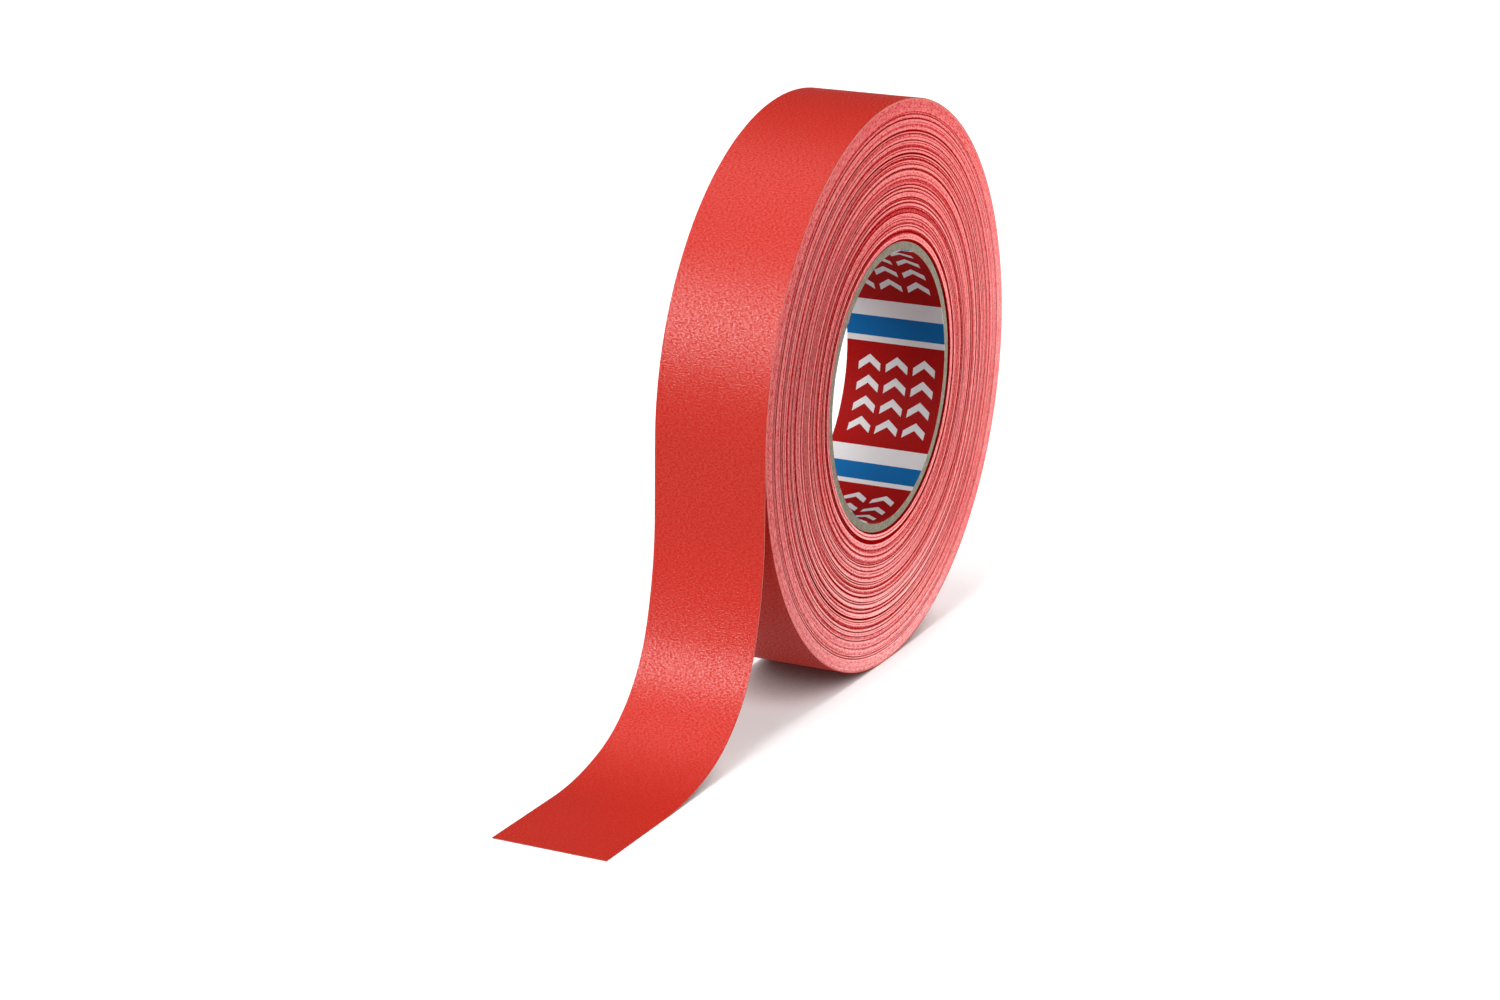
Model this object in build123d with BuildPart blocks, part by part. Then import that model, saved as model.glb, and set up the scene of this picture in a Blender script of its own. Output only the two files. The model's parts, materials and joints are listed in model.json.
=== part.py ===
"""Duct tape roll: coated-cloth tape wound on a paperboard core, with its free end hanging to the floor.

Millimetres. The origin is the centre of the core's bore, Y is the roll's axis and Z is up. The roll
stands on its rim, and the free end leaves it towards -X.
"""

import os
from math import cos, degrees, radians, sin

from build123d import *

# The roll
ROLL_RADIUS = 80.0
TAPE_WIDTH = 32.0

# The tape is a laminate. Its layers, from the outside of the roll inwards, and their thicknesses.
TAPE_LAYERS = {"film": 0.08, "scrim": 0.11, "adhesive": 0.12}
TAPE_THICKNESS = sum(TAPE_LAYERS.values())

# The core: a printed paper liner inside plies of grey board
BORE_RADIUS = 38.0
LINER_THICKNESS = 0.12
PLY_THICKNESS = 0.595
PLIES = ("inner", "second", "third", "outer")
CORE_RADIUS = BORE_RADIUS + LINER_THICKNESS + len(PLIES) * PLY_THICKNESS
CORE_WIDTH = 30.5
CORE_RECESS = 0.5  # how far the core's -Y edge is inside the tape's

# Each layer of the core is a strip wound at a slant, so its two edges meet in a slanting butt joint.
SEAM_GAP = 0.2
SEAM_SLANT = 32.0
FIRST_SEAM_ANGLE = 150.0
SEAM_STEP = 77.0

# The roll stands on the outermost turn's lower half, which is half a tape's thickness nearer the axis.
FLOOR = -(ROLL_RADIUS - TAPE_THICKNESS / 2)

# The free end, along its outer face: a straight drop, three arcs that flare it out, and a run on the floor
FLARE = ((100.0, 18.0), (40.0, 54.0), (80.0, 18.0))  # radius and turn of each arc
FLAT_RUN = 30.5

# Where the free end bends: distances along it from the roll. The sections stop short of each bend's axis.
PEEL_BEND = 8.0
BEND_GAP = 0.5


def travel(angle):
    """The free end's direction when it has turned this far from straight down, as (x, z)."""
    return Vector(-sin(radians(angle)), -cos(radians(angle)))


def outward(angle):
    """The direction its outer face looks in, as (x, z)."""
    return Vector(-cos(radians(angle)), sin(radians(angle)))


def flare_drop():
    """The height that the three arcs come down by."""
    drop, angle = 0.0, 0.0
    for radius, turn in FLARE:
        drop += radius * (sin(radians(angle + turn)) - sin(radians(angle)))
        angle += turn
    return drop


def free_end_runs():
    """Each run of the free end: its distance from the roll, first point, heading, radius and length."""
    runs = []
    distance, point, angle = 0.0, Vector(-ROLL_RADIUS, 0), 0.0
    straight_drop = -FLOOR - TAPE_THICKNESS - flare_drop()
    for radius, turn in ((None, straight_drop), *FLARE, (None, FLAT_RUN)):
        length = radius * radians(turn) if radius else turn
        runs.append((distance, point, angle, radius, length))
        if radius:
            centre = point + outward(angle) * radius
            angle += turn
            point = centre - outward(angle) * radius
        else:
            point = point + travel(angle) * length
        distance += length
    return runs


RUNS = free_end_runs()
UPPER_BEND = RUNS[2][0]
LOWER_BEND = RUNS[3][0]
LEADER_LENGTH = RUNS[4][0] + FLAT_RUN
LEADER_SECTIONS = {
    "hang": (PEEL_BEND + BEND_GAP / 2, UPPER_BEND - BEND_GAP / 2),
    "curve": (UPPER_BEND + BEND_GAP / 2, LOWER_BEND - BEND_GAP / 2),
    "tip": (LOWER_BEND + BEND_GAP / 2, LEADER_LENGTH),
}


def straight_layer(point, angle, start, end, depth, thickness):
    """Sketch one layer of a straight run that begins at point."""
    first = point + travel(angle) * start
    last = point + travel(angle) * end
    top, bottom = outward(angle) * depth, outward(angle) * (depth + thickness)
    with BuildLine() as outline:
        Polyline(first - top, last - top, last - bottom, first - bottom, close=True)
    make_face(outline.edges())


def curved_layer(point, angle, radius, start, end, depth, thickness):
    """Sketch one layer of a run that begins at point and curves towards its outer face."""
    centre = point + outward(angle) * radius
    begin = angle + degrees(start / radius)
    sweep_angle = degrees((end - start) / radius)
    with BuildLine() as outline:
        top = CenterArc(centre, radius + depth, -begin, -sweep_angle)
        bottom = CenterArc(centre, radius + depth + thickness, -begin, -sweep_angle)
        Line(top @ 0, bottom @ 0)
        Line(top @ 1, bottom @ 1)
    make_face(outline.edges())


def free_end_layer(start, end, depth, thickness):
    """Sketch one layer of the free end between two distances along it."""
    for distance, point, angle, radius, length in RUNS:
        low, high = max(start - distance, 0.0), min(end - distance, length)
        if high <= low:
            continue
        if radius:
            curved_layer(point, angle, radius, low, high, depth, thickness)
        else:
            straight_layer(point, angle, low, high, depth, thickness)


def one_turn(radius):
    """One turn of the spiral, from -X over the top and back to -X one tape's thickness nearer the axis."""
    drop = TAPE_THICKNESS / 2
    upper = CenterArc((0, 0), radius, 180, -180)
    lower = CenterArc((drop, 0), radius - drop, 0, -180)
    return upper, lower


def cut_seam(angle, radius):
    """Cut a slanting butt joint through a layer of the core, at this angle round it."""
    away = Vector(cos(radians(angle)), 0, sin(radians(angle)))
    seam = Plane(origin=away * radius, x_dir=away.cross(Vector(0, 1, 0)), z_dir=away)
    with Locations(seam):
        Box(SEAM_GAP, 3 * CORE_WIDTH, 8, rotation=(0, 0, SEAM_SLANT), mode=Mode.SUBTRACT)


def core_layer(inside, thickness, seam_angle):
    """A thin tube with one butt joint."""
    with BuildPart() as layer:
        with BuildSketch(Plane.XZ.offset(TAPE_WIDTH / 2 - CORE_RECESS)):
            Circle(inside + thickness)
            Circle(inside, mode=Mode.SUBTRACT)
        extrude(amount=-CORE_WIDTH)
        cut_seam(seam_angle, inside + thickness / 2)
    return layer.part


def save(part, name):
    part.label = name
    export_step(part, f"parts/{name}.step")


os.makedirs("parts", exist_ok=True)

# Core: printed liner, then the plies of board
save(core_layer(BORE_RADIUS, LINER_THICKNESS, FIRST_SEAM_ANGLE), "core_liner")
for index, ply in enumerate(PLIES):
    ply_inside = BORE_RADIUS + LINER_THICKNESS + index * PLY_THICKNESS
    seam_angle = FIRST_SEAM_ANGLE + (index + 1) * SEAM_STEP
    save(core_layer(ply_inside, PLY_THICKNESS, seam_angle), f"core_ply_{ply}")

# Every turn under the outermost one: a strip stuck to itself, with the step where the outermost turn begins
with BuildPart() as wound_turns:
    with BuildSketch(Plane.XZ):
        with BuildLine():
            upper, lower = one_turn(ROLL_RADIUS - TAPE_THICKNESS)
            Line(lower @ 1, upper @ 0)
        make_face()
        Circle(CORE_RADIUS, mode=Mode.SUBTRACT)
    extrude(amount=TAPE_WIDTH / 2, both=True)
save(wound_turns.part, "wound_turns")

# The tape's layers: the outermost turn with the stub that has lifted off it, then the free end's sections
depth = 0.0
for layer_name, thickness in TAPE_LAYERS.items():
    with BuildPart() as last_turn:
        with BuildSketch(Plane.XZ):
            with BuildLine():
                outer_upper, outer_lower = one_turn(ROLL_RADIUS - depth)
                inner_upper, inner_lower = one_turn(ROLL_RADIUS - depth - thickness)
                Line(outer_lower @ 1, inner_lower @ 1)
                Line(inner_upper @ 0, outer_upper @ 0)
            make_face()
            free_end_layer(0.0, PEEL_BEND - BEND_GAP / 2, depth, thickness)
        extrude(amount=TAPE_WIDTH / 2, both=True)
    save(last_turn.part, f"last_turn_{layer_name}")

    for section, (start, end) in LEADER_SECTIONS.items():
        with BuildPart() as leader:
            with BuildSketch(Plane.XZ):
                free_end_layer(start, end, depth, thickness)
            extrude(amount=TAPE_WIDTH / 2, both=True)
        save(leader.part, f"leader_{section}_{layer_name}")
    depth += thickness

# The bends' axes run along Y through the middle of the tape's thickness.
for name, distance in (("peel", PEEL_BEND), ("upper", UPPER_BEND), ("lower", LOWER_BEND)):
    run_start, point, angle, _, _ = [run for run in RUNS if run[0] <= distance][-1]
    axis = point + travel(angle) * (distance - run_start) - outward(angle) * TAPE_THICKNESS / 2
    print(f"{name} bend at x {axis.X:.3f}, z {axis.Y:.3f}")
print(f"free end {LEADER_LENGTH:.1f} long, floor at z {FLOOR:.3f}")
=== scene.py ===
"""Duct tape roll: its looks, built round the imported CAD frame. Metres, in the frame's axes.

The strip is followed by its distance from the place where it leaves the roll: it winds inwards from there,
turn by turn, and the free end runs outwards. Y is the roll's axis and the strip's width.
"""

import json

from math import cos, pi, radians, sin, tan

import bpy
import numpy as np
from mathutils import Matrix, Vector


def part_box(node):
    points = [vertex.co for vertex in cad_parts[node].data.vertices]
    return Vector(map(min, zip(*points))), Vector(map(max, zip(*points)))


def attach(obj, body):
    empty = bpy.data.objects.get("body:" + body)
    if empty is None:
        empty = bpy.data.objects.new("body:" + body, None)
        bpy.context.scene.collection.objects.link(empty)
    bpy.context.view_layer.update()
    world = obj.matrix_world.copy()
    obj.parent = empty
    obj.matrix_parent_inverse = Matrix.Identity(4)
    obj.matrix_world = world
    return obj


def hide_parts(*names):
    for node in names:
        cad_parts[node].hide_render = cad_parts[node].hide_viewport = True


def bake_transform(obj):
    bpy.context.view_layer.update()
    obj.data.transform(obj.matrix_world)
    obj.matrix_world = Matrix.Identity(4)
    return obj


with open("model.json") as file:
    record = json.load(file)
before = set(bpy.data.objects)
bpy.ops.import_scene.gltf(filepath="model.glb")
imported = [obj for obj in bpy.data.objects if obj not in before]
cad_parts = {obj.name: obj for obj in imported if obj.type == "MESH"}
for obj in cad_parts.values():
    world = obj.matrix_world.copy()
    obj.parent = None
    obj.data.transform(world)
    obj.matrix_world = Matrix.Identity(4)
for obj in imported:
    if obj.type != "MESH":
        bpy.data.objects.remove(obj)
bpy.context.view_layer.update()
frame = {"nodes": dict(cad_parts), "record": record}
MM = 0.001
SEED = 7

# ---------------------------------------------------------------- sizes, from the frame
LAYERS = ("film", "scrim", "adhesive")


def joint_place(name):
    joints = frame["record"]["behaviour"]["joints"]
    return Vector(next(j["pos_m"] for j in joints if j["name"] == name))


def mount(name):
    return next(m for m in frame["record"]["mounts"] if m["name"] == name)


film_low, film_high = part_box("last_turn_film")
wound_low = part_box("wound_turns")[0]
ROLL_RADIUS = -film_low.x
HALF_WIDTH = film_high.y
TAPE_THICKNESS = ROLL_RADIUS + wound_low.x
CORE_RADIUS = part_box("core_ply_outer")[1].x
BORE_RADIUS = mount("core_bore")["dims"]["r_mm"] * MM
liner_low, liner_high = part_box("core_liner")
LINER_THICKNESS = liner_high.x - BORE_RADIUS
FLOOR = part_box("leader_tip_adhesive")[0].z
LAYER_DEPTHS = {
    "film": (0.0, 0.08 * MM),
    "scrim": (0.08 * MM, 0.19 * MM),
    "adhesive": (0.19 * MM, TAPE_THICKNESS),
}

# The free end's outer face: a drop, three arcs that flare it out, and a flat run on the floor
FLARE = ((100 * MM, radians(18)), (40 * MM, radians(54)), (80 * MM, radians(18)))
FREE_END_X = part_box("leader_tip_film")[0].x


def flare_travel(function):
    """How far the flare goes: down for sin, outwards for cos."""
    total, angle = 0.0, 0.0
    for radius, turn in FLARE:
        total += radius * abs(function(angle + turn) - function(angle))
        angle += turn
    return total


DROP = -FLOOR - TAPE_THICKNESS - flare_travel(sin)
FLAT_RUN = -ROLL_RADIUS - flare_travel(cos) - FREE_END_X
RUNS = ((0.0, DROP), *((radius, radius * turn) for radius, turn in FLARE), (0.0, FLAT_RUN))
LEADER_LENGTH = sum(length for _, length in RUNS)
PEEL_BEND = -joint_place("leader_peel").z
UPPER_BEND = RUNS[0][1] + RUNS[1][1]
LOWER_BEND = UPPER_BEND + RUNS[2][1]

# ---------------------------------------------------------------- camera
CAMERA_TARGET = Vector((0, 27.26 * MM, -38.56 * MM))
CAMERA_AZIMUTH = radians(-64.0)
CAMERA_ELEVATION = radians(16.75)
CAMERA_DISTANCE = 0.996
CAMERA_LENS = 83.94
CAMERA_ROLL = radians(0.588)


def make_camera():
    data = bpy.data.cameras.new("camera")
    data.lens = CAMERA_LENS
    data.clip_start, data.clip_end = 0.01, 50
    camera = bpy.data.objects.new("camera", data)
    bpy.context.collection.objects.link(camera)
    back = Vector((
        sin(CAMERA_AZIMUTH) * cos(CAMERA_ELEVATION),
        -cos(CAMERA_AZIMUTH) * cos(CAMERA_ELEVATION),
        sin(CAMERA_ELEVATION),
    ))
    look = (-back).to_track_quat("-Z", "Y").to_matrix().to_4x4()
    roll = Matrix.Rotation(CAMERA_ROLL, 4, "Z")
    camera.matrix_world = Matrix.Translation(CAMERA_TARGET + back * CAMERA_DISTANCE) @ look @ roll
    bpy.context.scene.camera = camera


make_camera()


# ---------------------------------------------------------------- node helpers
class Graph:
    """A material's nodes, made by short calls that return output sockets."""

    def __init__(self, name):
        self.material = bpy.data.materials.new(name)
        self.material.use_nodes = True
        self.tree = self.material.node_tree
        self.shader = self.tree.nodes["Principled BSDF"]

    def put(self, socket, value):
        if hasattr(value, "is_linked"):
            self.tree.links.new(value, socket)
        else:
            socket.default_value = value

    def set(self, **values):
        """Set the shader's sockets: base_color is Base Color, and so on."""
        for name, value in values.items():
            words = name.replace("_", " ").title().replace("Ior", "IOR")
            self.put(self.shader.inputs[words], value)

    def math(self, operation, *values, clamp=False):
        node = self.tree.nodes.new("ShaderNodeMath")
        node.operation = operation
        node.use_clamp = clamp
        for socket, value in zip(node.inputs, values):
            self.put(socket, value)
        return node.outputs[0]

    def uv(self):
        return self.tree.nodes.new("ShaderNodeUVMap").outputs[0]

    def attribute(self, name):
        node = self.tree.nodes.new("ShaderNodeAttribute")
        node.attribute_name = name
        return node.outputs["Fac"]

    def position(self):
        return self.tree.nodes.new("ShaderNodeTexCoord").outputs["Object"]

    def split(self, vector):
        node = self.tree.nodes.new("ShaderNodeSeparateXYZ")
        self.put(node.inputs[0], vector)
        return node.outputs[0], node.outputs[1], node.outputs[2]

    def join(self, x, y, z=0.0):
        node = self.tree.nodes.new("ShaderNodeCombineXYZ")
        for socket, value in zip(node.inputs, (x, y, z)):
            self.put(socket, value)
        return node.outputs[0]

    def noise(self, vector, scale, detail=3.0, roughness=0.5, stretch=None):
        """Noise from 0 to 1. stretch scales the vector's axes first."""
        if stretch:
            mapping = self.tree.nodes.new("ShaderNodeMapping")
            mapping.vector_type = "POINT"
            self.put(mapping.inputs["Vector"], vector)
            mapping.inputs["Scale"].default_value = stretch
            vector = mapping.outputs[0]
        node = self.tree.nodes.new("ShaderNodeTexNoise")
        self.put(node.inputs["Vector"], vector)
        node.inputs["Scale"].default_value = scale
        node.inputs["Detail"].default_value = detail
        node.inputs["Roughness"].default_value = roughness
        return node.outputs["Fac"]

    def scaled(self, value, low, high, to_low=0.0, to_high=1.0):
        node = self.tree.nodes.new("ShaderNodeMapRange")
        for socket, number in zip(node.inputs, (value, low, high, to_low, to_high)):
            self.put(socket, number)
        return node.outputs[0]

    def mix(self, factor, first, second, blend="MIX"):
        node = self.tree.nodes.new("ShaderNodeMix")
        node.data_type = "RGBA"
        node.blend_type = blend
        colours = [s for s in node.inputs if s.type == "RGBA"]
        self.put(node.inputs[0], factor)
        self.put(colours[0], first)
        self.put(colours[1], second)
        return next(s for s in node.outputs if s.type == "RGBA")

    def bump(self, height, distance, strength=1.0, normal=None):
        node = self.tree.nodes.new("ShaderNodeBump")
        node.inputs["Distance"].default_value = distance
        node.inputs["Strength"].default_value = strength
        self.put(node.inputs["Height"], height)
        if normal:
            self.put(node.inputs["Normal"], normal)
        return node.outputs[0]

    def threads(self, coordinate, pitch):
        """Rounded threads side by side: 0 between them, 1 on top."""
        return self.math("ABSOLUTE", self.math("SINE", self.math("MULTIPLY", coordinate, pi / pitch)))


# ---------------------------------------------------------------- materials
FILM_RED = (0.70, 0.036, 0.021, 1)
FILM_RED_DEEP = (0.65, 0.031, 0.018, 1)
EDGE_PINK = (0.72, 0.028, 0.030, 1)
EDGE_PALE = (0.95, 0.22, 0.21, 1)
# Painted shade: the dark red of recessed turns and of the grooves between turns
EDGE_GROOVE_SHADE = (0.30, 0.001, 0.002, 1)
WARP_PITCH = 0.55 * MM
WEFT_PITCH = 0.42 * MM


def weave(graph, along, across):
    """Cloth pressed through a coating: uneven threads both ways."""
    waver = graph.noise(graph.join(along, across), 900, 2)
    along_bent = graph.math("MULTIPLY_ADD", waver, 0.25 * MM, along)
    across_bent = graph.math("MULTIPLY_ADD", waver, 0.2 * MM, across)
    weft = graph.threads(along_bent, WEFT_PITCH)
    warp = graph.threads(across_bent, WARP_PITCH)
    return graph.math("MULTIPLY_ADD", weft, 0.6, graph.math("MULTIPLY", warp, 0.4))


def film_material():
    """The red coating: satin, with the cloth just showing through."""
    g = Graph("film_red")
    uv = g.uv()
    along, across, _ = g.split(uv)
    cloth = weave(g, along, across)
    slubs = g.noise(uv, 1, 2, 0.6, stretch=(2200, 1300, 1))
    clouds = g.noise(uv, 45, 3)
    tone = g.math("MULTIPLY_ADD", slubs, 0.85, g.math("MULTIPLY", clouds, 0.15))
    g.set(
        base_color=g.mix(g.scaled(tone, 0.3, 0.7), FILM_RED_DEEP, FILM_RED),
        roughness=0.5,
        specular_ior_level=0.0,
        coat_weight=g.scaled(slubs, 0.36, 0.64, 0.08, 0.80),
        coat_roughness=0.3,
    )
    height = g.math("MULTIPLY_ADD", slubs, 1.2, g.math("MULTIPLY", cloth, 0.12))
    g.set(normal=g.bump(height, 0.05 * MM, 1.0), coat_normal=g.bump(height, 0.1 * MM, 1.0))
    return g.material


def edge_material():
    """The cut edges of the turns: pale cloth and adhesive with fibres and grain, plus painted shade and
    light. Recessed turns and the grooves between turns are painted darker, and raised turns paler.
    """
    g = Graph("turn_edges")
    uv = g.uv()
    relief = g.attribute("relief")
    fibres = g.noise(uv, 1, 3, 0.6, stretch=(1000, 3000, 1))
    grain = g.noise(g.position(), 1900, 2, 0.6)
    clouds = g.noise(g.position(), 38, 2)
    # The relief attribute adds painted shade and light. Low relief, in recessed turns and grooves, takes the
    # dark groove-shade colour; high relief takes the pale colour.
    tone = g.math("MULTIPLY_ADD", g.math("SUBTRACT", fibres, 0.5), 1.3, relief)
    tone = g.math("MULTIPLY_ADD", g.math("SUBTRACT", grain, 0.5), 1.2, tone)
    tone = g.math("MULTIPLY_ADD", g.math("SUBTRACT", clouds, 0.5), 0.15, tone)
    colour = g.mix(g.scaled(tone, 0.0, 0.42), EDGE_GROOVE_SHADE, EDGE_PINK)
    colour = g.mix(g.scaled(tone, 0.44, 0.95), colour, EDGE_PALE)
    g.set(
        base_color=colour,
        roughness=g.scaled(grain, 0.3, 0.7, 0.55, 0.7),
        specular_ior_level=g.scaled(tone, 0.15, 0.95, 0.0, 0.022),
    )
    g.set(normal=g.bump(g.math("ADD", fibres, grain), 0.05 * MM, 0.6))
    return g.material


def scrim_material():
    """Cotton threads, seen only along the strip's edges."""
    g = Graph("scrim_cotton")
    along, across, _ = g.split(g.uv())
    cloth = weave(g, along, across)
    fibres = g.noise(g.position(), 2500, 3)
    g.set(
        base_color=g.mix(g.math("MULTIPLY", cloth, fibres), (0.52, 0.04, 0.03, 1), (0.74, 0.17, 0.14, 1)),
        roughness=0.85,
        specular_ior_level=0.1,
        normal=g.bump(cloth, 0.04 * MM),
    )
    return g.material


def adhesive_material():
    """Rubber adhesive with the cloth's grid showing through it."""
    g = Graph("adhesive_rubber")
    uv = g.uv()
    along, across, _ = g.split(uv)
    weft = g.threads(along, 2 * WEFT_PITCH)
    warp = g.threads(across, 2 * WARP_PITCH)
    grid = g.math("MAXIMUM", g.math("POWER", weft, 3.0), g.math("POWER", warp, 3.0))
    clouds = g.noise(uv, 120, 4, 0.6)
    colour = g.mix(g.scaled(grid, 0.2, 1.0), (0.58, 0.13, 0.10, 1), (0.68, 0.24, 0.19, 1))
    g.set(
        base_color=g.mix(g.scaled(clouds, 0.3, 0.8, 0.0, 0.5), colour, (0.72, 0.32, 0.26, 1)),
        roughness=g.scaled(clouds, 0.3, 0.7, 0.28, 0.45),
        normal=g.bump(g.math("MULTIPLY_ADD", grid, 0.7, g.math("MULTIPLY", clouds, 0.4)), 0.05 * MM, 0.7),
    )
    return g.material


def board_material():
    """Grey-brown board with flecks and fibres."""
    g = Graph("core_board")
    place = g.position()
    fibres = g.noise(place, 700, 5, 0.7)
    flecks = g.noise(place, 2300, 2)
    colour = g.mix(g.scaled(fibres, 0.3, 0.7), (0.20, 0.175, 0.125, 1), (0.34, 0.31, 0.24, 1))
    g.set(
        base_color=g.mix(g.scaled(flecks, 0.62, 0.7), colour, (0.48, 0.44, 0.36, 1)),
        roughness=0.88,
        specular_ior_level=0.25,
        normal=g.bump(g.math("ADD", fibres, flecks), 0.12 * MM, 0.7),
    )
    return g.material


# The liner's print runs round the bore and repeats. Shares of one repeat, in order.
PRINT_START = radians(363.0)
PRINT_REPEAT = radians(67.3)
RED_SHARE, WHITE_SHARE, BLUE_SHARE = 0.692, 0.126, 0.142
PRINT_RED = (0.42, 0.0012, 0.0012, 1)
PRINT_WHITE = (0.88, 0.88, 0.88, 1)
PRINT_BLUE = (0.001, 0.15, 0.44, 1)
# Three columns of chevrons on the red
COLUMN_PITCH = 8.55 * MM
MIDDLE_COLUMN = -0.9 * MM
CHEVRON_PITCH = 6.1 * MM
CHEVRON_START = 3.2 * MM
CHEVRONS = 4
CHEVRON_HALF_WIDTH = 3.4 * MM
CHEVRON_STROKE = 1.15 * MM
CHEVRON_SLOPE = 0.75


def liner_material():
    """Printed paper: red blocks with plain chevrons, then white, blue and white bands."""
    g = Graph("liner_print")
    uv = g.uv()
    round_bore, across, _ = g.split(uv)
    repeat = PRINT_REPEAT * BORE_RADIUS
    share = g.math("FRACT", g.math("DIVIDE", round_bore, repeat))
    place = g.math("MULTIPLY", share, repeat)

    from_middle = g.math("SUBTRACT", across, MIDDLE_COLUMN)
    shifted = g.math("ADD", from_middle, COLUMN_PITCH * 10.5)
    in_column = g.math("SUBTRACT", g.math("MODULO", shifted, COLUMN_PITCH), COLUMN_PITCH / 2)
    off_centre = g.math("ABSOLUTE", in_column)
    in_three = g.math("LESS_THAN", g.math("ABSOLUTE", from_middle), 1.5 * COLUMN_PITCH)
    from_start = g.math("SUBTRACT", place, CHEVRON_START)
    in_rows = g.math(
        "MULTIPLY",
        g.math("GREATER_THAN", from_start, 0.0),
        g.math("LESS_THAN", from_start, CHEVRONS * CHEVRON_PITCH),
    )
    in_pitch = g.math("MODULO", from_start, CHEVRON_PITCH)
    ridge = g.math("MULTIPLY_ADD", off_centre, CHEVRON_SLOPE, CHEVRON_PITCH * 0.28)
    off_ridge = g.math("ABSOLUTE", g.math("SUBTRACT", in_pitch, ridge))
    in_stroke = g.math("LESS_THAN", off_ridge, CHEVRON_STROKE)
    in_width = g.math("LESS_THAN", off_centre, CHEVRON_HALF_WIDTH)
    in_mark = g.math("MULTIPLY", in_stroke, in_width)
    chevron = g.math("MULTIPLY", in_mark, g.math("MULTIPLY", in_rows, in_three))

    wear = g.noise(uv, 1400, 4, 0.65)
    marks = g.mix(g.math("MULTIPLY", chevron, g.scaled(wear, 0.2, 0.45, 0.75, 1.0)), PRINT_RED, PRINT_WHITE)
    white_end = RED_SHARE + WHITE_SHARE
    blue_end = white_end + BLUE_SHARE
    colour = g.mix(g.math("GREATER_THAN", share, RED_SHARE), marks, PRINT_WHITE)
    colour = g.mix(g.math("GREATER_THAN", share, white_end), colour, PRINT_BLUE)
    colour = g.mix(g.math("GREATER_THAN", share, blue_end), colour, PRINT_WHITE)
    shade = g.mix(g.scaled(wear, 0.3, 0.8, 0.0, 0.05), colour, (0.25, 0.22, 0.2, 1))
    g.set(
        base_color=shade,
        roughness=g.scaled(wear, 0.3, 0.7, 0.5, 0.65),
        specular_ior_level=0.04,
        normal=g.bump(g.noise(uv, 2600, 3), 0.03 * MM, 0.5),
    )
    return g.material


FLOOR_GLOW = 0.50


def floor_material():
    """A pale surface, with a faint glow as on a light table. Its colour and its glow darken close under the
    object through ambient occlusion: a painted contact shadow.
    """
    g = Graph("floor_pale")
    soft = g.noise(g.position(), 3, 2)
    painted_shadow_ao = g.tree.nodes.new("ShaderNodeAmbientOcclusion")
    painted_shadow_ao.inputs["Distance"].default_value = 22 * MM
    pale = g.mix(soft, (0.64, 0.64, 0.64, 1), (0.66, 0.66, 0.66, 1))
    g.set(
        # Painted contact shadow: where the floor is closed in under the object, its colour turns dark
        # red-brown and its glow fades.
        base_color=g.mix(g.scaled(painted_shadow_ao.outputs["AO"], 0.08, 0.45), (0.16, 0.08, 0.08, 1), pale),
        roughness=0.9,
        specular_ior_level=0.1,
        emission_color=(1, 1, 1, 1),
        emission_strength=g.scaled(painted_shadow_ao.outputs["AO"], 0.05, 0.6, 0.0, FLOOR_GLOW),
    )
    return g.material


FILM = film_material()
EDGES = edge_material()
SCRIM = scrim_material()
ADHESIVE = adhesive_material()
BOARD = board_material()
LINER = liner_material()
LAYER_MATERIALS = {"film": FILM, "scrim": SCRIM, "adhesive": ADHESIVE}


# ---------------------------------------------------------------- meshes
def make_piece(name, vertices, faces, material, uvs=None, body=None):
    """A smooth mesh object. uvs has one pair for each vertex, in metres."""
    mesh = bpy.data.meshes.new(name)
    mesh.from_pydata(np.asarray(vertices).tolist(), [], np.asarray(faces).tolist())
    if uvs is not None:
        loops = np.zeros(len(mesh.loops), np.int32)
        mesh.loops.foreach_get("vertex_index", loops)
        layer = mesh.uv_layers.new(name="UVMap")
        layer.data.foreach_set("uv", np.asarray(uvs, np.float32)[loops].ravel())
    mesh.materials.append(material)
    mesh.polygons.foreach_set("use_smooth", [True] * len(mesh.polygons))
    mesh.update()
    piece = bpy.data.objects.new(name, mesh)
    bpy.context.collection.objects.link(piece)
    if body:
        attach(piece, body)
    return piece


def grid_faces(rows, columns, around=False):
    """Quads over a grid of vertices numbered row by row. around joins the last column to the first."""
    across = columns if around else columns - 1
    row, column = np.meshgrid(np.arange(rows - 1), np.arange(across), indexing="ij")
    first = row * columns + column
    second = row * columns + (column + 1) % columns
    return np.stack([first, second, second + columns, first + columns], -1).reshape(-1, 4)


def turn_radius(progress):
    """The strip's outer radius, this many turns in from where it leaves the roll, and its angle."""
    whole = np.floor(progress)
    part = progress - whole
    angle = pi - 2 * pi * part
    radius = ROLL_RADIUS - whole * TAPE_THICKNESS
    lower = -TAPE_THICKNESS / 2 * (1 - np.cos(angle))
    return radius + np.where(part > 0.5, lower, 0.0), angle


def leader_place(distance):
    """The free end's outer face this far from the roll: x, z and the outward direction's x and z."""
    x, z, angle = -ROLL_RADIUS, 0.0, 0.0
    for radius, length in RUNS:
        step = min(distance, length)
        if radius:
            centre_x, centre_z = x - cos(angle) * radius, z + sin(angle) * radius
            angle += step / radius
            x, z = centre_x + cos(angle) * radius, centre_z - sin(angle) * radius
        else:
            x, z = x - sin(angle) * step, z - cos(angle) * step
        distance -= step
        if distance <= 0:
            break
    return x, z, -cos(angle), sin(angle)


def strip_place(distance):
    """The whole strip: the free end has positive distances and the last turn negative ones."""
    if distance >= 0:
        return leader_place(distance)
    radius, angle = turn_radius(np.float64(-distance / (2 * pi * ROLL_RADIUS)))
    return radius * cos(angle), radius * sin(angle), cos(angle), sin(angle)


ACROSS = 12


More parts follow.
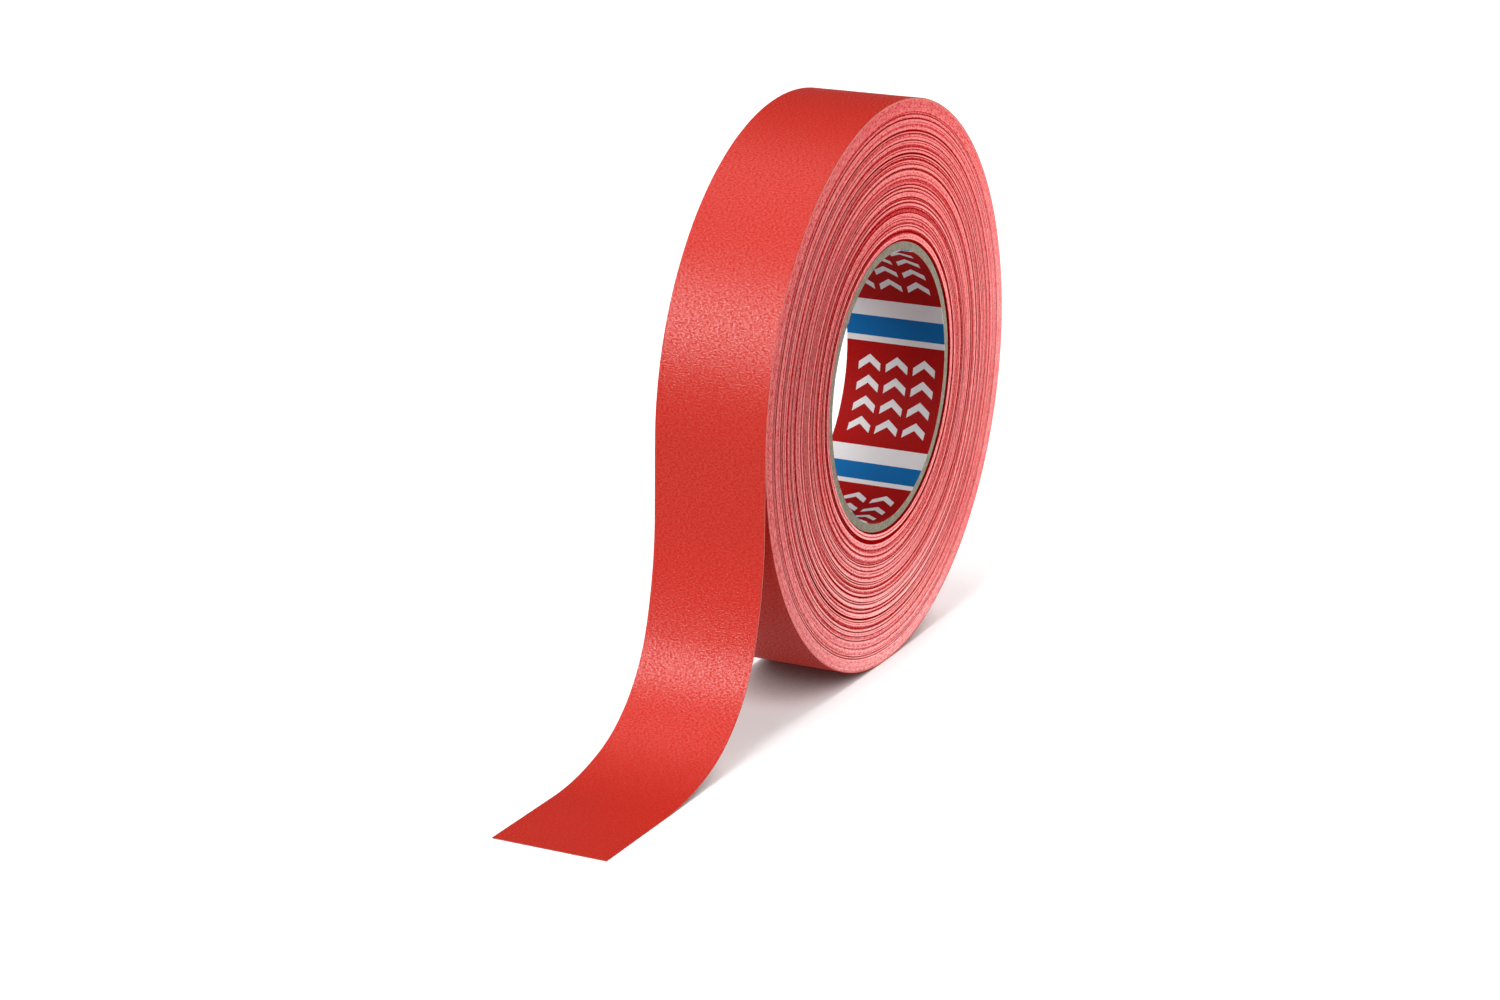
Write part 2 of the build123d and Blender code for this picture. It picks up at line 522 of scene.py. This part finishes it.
def strip_piece(name, start, end, layer, body, step=1.0 * MM):
    """A closed length of one layer of the strip, between two distances along it."""
    top, bottom = LAYER_DEPTHS[layer]
    count = max(2, int(round((end - start) / step)) + 1)
    distances = np.linspace(start, end, count)
    ys = np.linspace(-HALF_WIDTH, HALF_WIDTH, ACROSS + 1)
    vertices, uvs = [], []
    for distance in distances:
        x, z, out_x, out_z = strip_place(distance)
        for depth, row in ((top, ys), (bottom, ys[::-1])):
            for y in row:
                vertices.append((x - out_x * depth, y, z - out_z * depth))
                uvs.append((distance, y))
    ring = 2 * (ACROSS + 1)
    faces = grid_faces(count, ring, around=True).tolist()
    last = (count - 1) * ring
    for k in range(ACROSS):
        near, far = k, ring - 1 - k
        faces.append((near + 1, near, far, far - 1))
        faces.append((last + near, last + near + 1, last + far - 1, last + far))
    piece = make_piece(name, vertices, faces, LAYER_MATERIALS[layer], uvs)
    mark_sharp(piece)
    if body:
        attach(piece, body)
    return piece


def mark_sharp(piece, angle=radians(50)):
    """Keep the strip's cut edges crisp."""
    piece.data.set_sharp_from_angle(angle=angle)


# ---------------------------------------------------------------- the wound turns
ANGLES_PER_TURN = 190
FIRST_TURN = 1.0
LAST_TURN = (ROLL_RADIUS - CORE_RADIUS) / TAPE_THICKNESS - 1
PROFILE = ((0.07, -0.03), (0.32, 0.0), (0.68, 0.0), (0.93, -0.03))  # share of thickness, height in mm
GROOVES = 110
RIDGES = 80
SET_BACK = 0.03  # mm, so that the highest turns stay close to the roll's width
SHADE_FROM_HEIGHT = 6.0  # relief for each mm
NEIGHBOURS = ((1, 1.0), (2, 0.7))  # turns away and weight, on each side
GROUP_SHARE = 0.7
OUTERMOST_TURNS = 14
OUTERMOST_PALER = 0.06
WAVER = 0.07 * MM


def smooth_noise(rng, count, spacing):
    """Smooth noise along the strip, with a new random value every so many samples."""
    knots = rng.normal(size=int(count / spacing) + 4)
    place = np.arange(count) / spacing
    left = place.astype(int)
    part = place - left
    part = part * part * (3 - 2 * part)
    return knots[left] * (1 - part) + knots[left + 1] * part


def turn_heights(side):
    """How far each place along the strip stands out from the side of the roll, in millimetres."""
    rng = np.random.default_rng(SEED + side)
    count = int((LAST_TURN - FIRST_TURN) * ANGLES_PER_TURN) + 1
    height = 0.008 * smooth_noise(rng, count, ANGLES_PER_TURN * 0.35)
    height += 0.012 * smooth_noise(rng, count, ANGLES_PER_TURN * 2.6)
    sample = np.arange(count)
    for events, low, high in ((GROOVES, -0.20, -0.05), (RIDGES, 0.01, 0.06)):
        for centre in rng.uniform(0.08, 1, events) * count:
            half = rng.uniform(0.3, 0.85) * ANGLES_PER_TURN
            window = np.clip(1 - np.abs((sample - centre) / half), 0, 1)
            height += rng.uniform(low, high) * np.minimum(1, window * 2.0)
    return height


def side_of_roll(name, side):
    """Half of the wound strip, from the roll's middle to one side, with every turn's edge as real relief."""
    height = turn_heights(side)
    count = len(height)
    progress = FIRST_TURN + np.arange(count) / ANGLES_PER_TURN
    radius, angle = turn_radius(progress)

    wobble_rng = np.random.default_rng(SEED + 40 + side)
    phases = wobble_rng.uniform(0, 2 * pi, 3)
    depth_share = (radius - CORE_RADIUS) / (ROLL_RADIUS - CORE_RADIUS)
    wobble = sum(np.sin(n * angle + p + 5 * depth_share) for n, p in zip((2, 3, 5), phases))
    wobble *= WAVER * np.sin(pi * depth_share)

    blurred = height.copy()
    for turns, weight in NEIGHBOURS:
        shift = turns * ANGLES_PER_TURN
        blurred[shift:] += weight * height[:-shift]
        blurred[:-shift] += weight * height[shift:]
    blurred /= 1 + 2 * sum(weight for _, weight in NEIGHBOURS)

    # How far each turn stands out from its neighbours, with a little of how far the whole group does
    standing_out = height - height.mean() - GROUP_SHARE * (blurred - blurred.mean())
    # The outermost turns are the evenest and the palest
    outermost = np.clip(1 - progress / OUTERMOST_TURNS, 0, 1)
    vertices, uvs, relief = [], [], []
    for share, drop in PROFILE:
        r = radius - share * TAPE_THICKNESS + wobble
        y = side * (HALF_WIDTH + (height + drop - SET_BACK) * MM)
        vertices.append(np.stack([r * np.cos(angle), y, r * np.sin(angle)], -1))
        uvs.append(np.stack([angle * CORE_RADIUS, r], -1))
        # The relief value is painted shade and light in the edge colour. Turns that stand out are paler,
        # recessed turns are darker, and each turn's edges (the drop) are a little darker.
        relief.append(0.5 + SHADE_FROM_HEIGHT * standing_out + drop + OUTERMOST_PALER * outermost)
    vertices = np.stack(vertices, 1).reshape(-1, 3)
    uvs = np.stack(uvs, 1).reshape(-1, 2)
    relief = np.stack(relief, 1).reshape(-1)

    columns = len(PROFILE)
    faces = [grid_faces(count, columns)]
    outer = np.arange(count - 1 - ANGLES_PER_TURN)
    inner = outer + ANGLES_PER_TURN
    faces.append(np.stack([
        outer * columns + columns - 1,
        inner * columns,
        (inner + 1) * columns,
        (outer + 1) * columns + columns - 1,
    ], -1))

    # The outer and inner walls go in to the roll's middle, where the other half meets them.
    wall_columns = ANGLES_PER_TURN
    start = len(vertices)
    outer_rim = np.arange(wall_columns + 1) * columns
    inner_rim = np.arange(count - wall_columns - 1, count) * columns + columns - 1
    for rim in (outer_rim, inner_rim):
        wall = vertices[rim].copy()
        wall[:, 1] = 0
        vertices = np.concatenate([vertices, wall])
        uvs = np.concatenate([uvs, uvs[rim]])
        relief = np.concatenate([relief, np.full(len(rim), 0.3)])
    outer_wall = start + np.arange(wall_columns + 1)
    inner_wall = outer_wall + wall_columns + 1
    for rim, wall, flip in ((outer_rim, outer_wall, False), (inner_rim, inner_wall, True)):
        quads = np.stack([rim[:-1], rim[1:], wall[1:], wall[:-1]], -1)
        faces.append(quads[:, ::-1] if flip else quads)
    faces = np.concatenate(faces)
    if side > 0:
        faces = faces[:, ::-1]

    piece = make_piece(name, vertices, faces, EDGES, uvs, body="roll")
    attribute = piece.data.attributes.new("relief", "FLOAT", "POINT")
    attribute.data.foreach_set("value", relief.astype(np.float32))
    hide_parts("wound_turns")
    return piece


front_side = side_of_roll("wound_turns_front", -1)
side_of_roll("wound_turns_back", 1)

# ---------------------------------------------------------------- the last turn and the free end
BEND_REACH = 14 * MM
PEEL_REACH = 9 * MM
HANG_MIDDLE = (PEEL_BEND + UPPER_BEND) / 2
CURVE_MIDDLE = (UPPER_BEND + LOWER_BEND) / 2
TURN_LENGTH = 2 * pi * ROLL_RADIUS
# name, node, start, end, the bodies it would bend between and where that bend would start and end; nothing
# here bends the pieces or attaches them to a body
LEADER_PIECES = (
    ("peel", "hang", 0.0, HANG_MIDDLE, ("roll", "leader_hang"), (PEEL_BEND, PEEL_BEND + PEEL_REACH)),
    ("upper", "curve", HANG_MIDDLE, CURVE_MIDDLE, ("leader_hang", "leader_curve"),
     (UPPER_BEND - BEND_REACH, UPPER_BEND + BEND_REACH)),
    ("lower", "tip", CURVE_MIDDLE, LEADER_LENGTH, ("leader_curve", "leader_tip"),
     (LOWER_BEND - BEND_REACH, LOWER_BEND + BEND_REACH)),
)


def path_point(distance):
    x, z, _, _ = leader_place(distance)
    return (x, 0, z)


for layer in LAYERS:
    turn = strip_piece(f"last_turn_{layer}_sheet", -TURN_LENGTH, 0.0, layer, "roll", step=1.6 * MM)
    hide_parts(f"last_turn_{layer}")
    for name, node, start, end, bodies, bend in LEADER_PIECES:
        piece = strip_piece(f"leader_{name}_{layer}_sheet", start, end, layer, None)
        path_point(bend[0])
        path_point(bend[1])
        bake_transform(piece)
        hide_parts(f"leader_{node}_{layer}")


# ---------------------------------------------------------------- the core
LINER_SEAM = radians(150)
LINER_LAP = radians(7)
SEAM_SLANT = radians(32)
LINER_AROUND = 260
LINER_ACROSS = 10


def liner():
    """The printed paper inside the core, with its slanting lapped seam."""
    vertices, uvs = [], []
    turn = 2 * pi + LINER_LAP
    ys = np.linspace(liner_low.y, liner_high.y, LINER_ACROSS + 1)
    for share in np.linspace(0, 1, LINER_AROUND):
        from_seam = share * turn
        lapped = np.clip((from_seam - (2 * pi - radians(1.5))) / radians(1.5), 0, 1)
        lift = LINER_THICKNESS * lapped
        for y, outside in [(y, False) for y in ys] + [(y, True) for y in ys[::-1]]:
            angle = LINER_SEAM + y * tan(SEAM_SLANT) / BORE_RADIUS + from_seam
            radius = BORE_RADIUS + (LINER_THICKNESS * 0.98 if outside else 0) - lift
            vertices.append((radius * cos(angle), y, radius * sin(angle)))
            uvs.append(((PRINT_START - angle + 6 * PRINT_REPEAT) * BORE_RADIUS, y))
    ring = 2 * (LINER_ACROSS + 1)
    faces = grid_faces(LINER_AROUND, ring, around=True).tolist()
    last = (LINER_AROUND - 1) * ring
    for k in range(LINER_ACROSS):
        near, far = k, ring - 1 - k
        faces.append((near + 1, near, far, far - 1))
        faces.append((last + near, last + near + 1, last + far - 1, last + far))
    piece = make_piece("core_liner_print", vertices, faces, LINER, uvs, body="roll")
    mark_sharp(piece)
    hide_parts("core_liner")


liner()
for ply in ("inner", "second", "third", "outer"):
    node = frame["nodes"][f"core_ply_{ply}"]
    for material_slot in node.material_slots:
        material_slot.material = BOARD


# ---------------------------------------------------------------- studio
def area_light(name, direction, distance, size, power, colour=(1, 1, 1)):
    """A soft rectangular light that faces the roll's middle."""
    data = bpy.data.lights.new(name, "AREA")
    data.shape = "RECTANGLE"
    data.size, data.size_y = size
    data.energy = power
    data.color = colour
    light = bpy.data.objects.new(name, data)
    bpy.context.collection.objects.link(light)
    towards = Vector(direction).normalized()
    light.location = towards * distance
    light.rotation_mode = "QUATERNION"
    light.rotation_quaternion = towards.to_track_quat("Z", "Y")
    light.visible_camera = False
    return light


def sun_light(name, direction, strength, spread):
    """An even, soft light from far away. The shine comes from the softbox, so it makes none."""
    data = bpy.data.lights.new(name, "SUN")
    data.energy = strength
    data.angle = spread
    light = bpy.data.objects.new(name, data)
    bpy.context.collection.objects.link(light)
    light.rotation_mode = "QUATERNION"
    light.rotation_quaternion = Vector(direction).to_track_quat("Z", "Y")
    light.visible_glossy = False
    return light


key = sun_light("key", (-0.63, 0.22, 0.74), 2.9, radians(50))
softbox = area_light("softbox", (-0.74, 0.46, 0.48), 1.1, (0.9, 0.16), 13)
top_softbox = area_light("top_softbox", (-0.04, 0.44, 0.90), 1.1, (0.9, 0.30), 3)
top_softbox.visible_diffuse = False
softbox.visible_diffuse = False
side_fill = area_light("side_fill", (0.70, -0.71, -0.06), 0.50, (0.25, 0.12), 2.3)
side_fill.visible_glossy = False
# The shine on the side of the roll, strongest low down
side_shines = (
    area_light("side_shine_low", (0.62, -0.34, -0.71), 0.15, (0.08, 0.06), 0.85),
    area_light("side_shine_right", (0.96, -0.28, -0.16), 0.165, (0.07, 0.10), 0.9),
)
for light in side_shines:
    light.visible_diffuse = False
# A row of suns across the top, in line with the roll, makes the floor's shadow: crisp in front, soft along it
OVERHEAD_TILTS = (-56, -28, 0, 28, 56)
overheads = [
    sun_light(f"overhead_{tilt}", (sin(radians(tilt)), 0.01, cos(radians(tilt))), 0.84, radians(20))
    for tilt in OVERHEAD_TILTS
]


def link_light(light, piece, state):
    """Say that a light falls on this piece only, or on everything but this piece."""
    linked = bpy.data.collections.new(f"{light.name}_falls_on")
    linked.objects.link(piece)
    linked.collection_objects[0].light_linking.link_state = state
    light.light_linking.receiver_collection = linked


# The world's light by height: this much from below, less from above, blended across the horizon
LIGHT_FROM_BELOW = 0.40
LIGHT_FROM_ABOVE = 0.13
HORIZON = 0.1


def make_world():
    """White where the camera sees it, dimmer where it lights."""
    world = bpy.data.worlds.new("studio")
    world.use_nodes = True
    bpy.context.scene.world = world
    nodes, links = world.node_tree.nodes, world.node_tree.links
    nodes.clear()
    seen = nodes.new("ShaderNodeBackground")
    lighting = nodes.new("ShaderNodeBackground")
    seen.inputs["Color"].default_value = (1, 1, 1, 1)
    lighting.inputs["Color"].default_value = (1, 1, 1, 1)
    direction = nodes.new("ShaderNodeTexCoord")
    height = nodes.new("ShaderNodeSeparateXYZ")
    strength = nodes.new("ShaderNodeMapRange")
    links.new(direction.outputs["Generated"], height.inputs[0])
    links.new(height.outputs["Z"], strength.inputs["Value"])
    for socket, value in zip(strength.inputs[1:5], (-HORIZON, HORIZON, LIGHT_FROM_BELOW, LIGHT_FROM_ABOVE)):
        socket.default_value = value
    links.new(strength.outputs[0], lighting.inputs["Strength"])
    path = nodes.new("ShaderNodeLightPath")
    mix = nodes.new("ShaderNodeMixShader")
    out = nodes.new("ShaderNodeOutputWorld")
    links.new(path.outputs["Is Camera Ray"], mix.inputs[0])
    links.new(lighting.outputs[0], mix.inputs[1])
    links.new(seen.outputs[0], mix.inputs[2])
    links.new(mix.outputs[0], out.inputs[0])


make_world()
FLOOR_SIZE = 3.0
floor_corners = [(x * FLOOR_SIZE, y * FLOOR_SIZE, FLOOR) for x, y in ((-1, -1), (1, -1), (1, 1), (-1, 1))]
floor = make_piece("floor", floor_corners, [(0, 1, 2, 3)], floor_material())
floor.visible_diffuse = False
floor.visible_shadow = False
for light in overheads:
    link_light(light, floor, "INCLUDE")
for light in (key, side_fill):
    link_light(light, floor, "EXCLUDE")
for light in side_shines:
    link_light(light, front_side, "INCLUDE")
bpy.context.scene.view_settings.view_transform = "Standard"
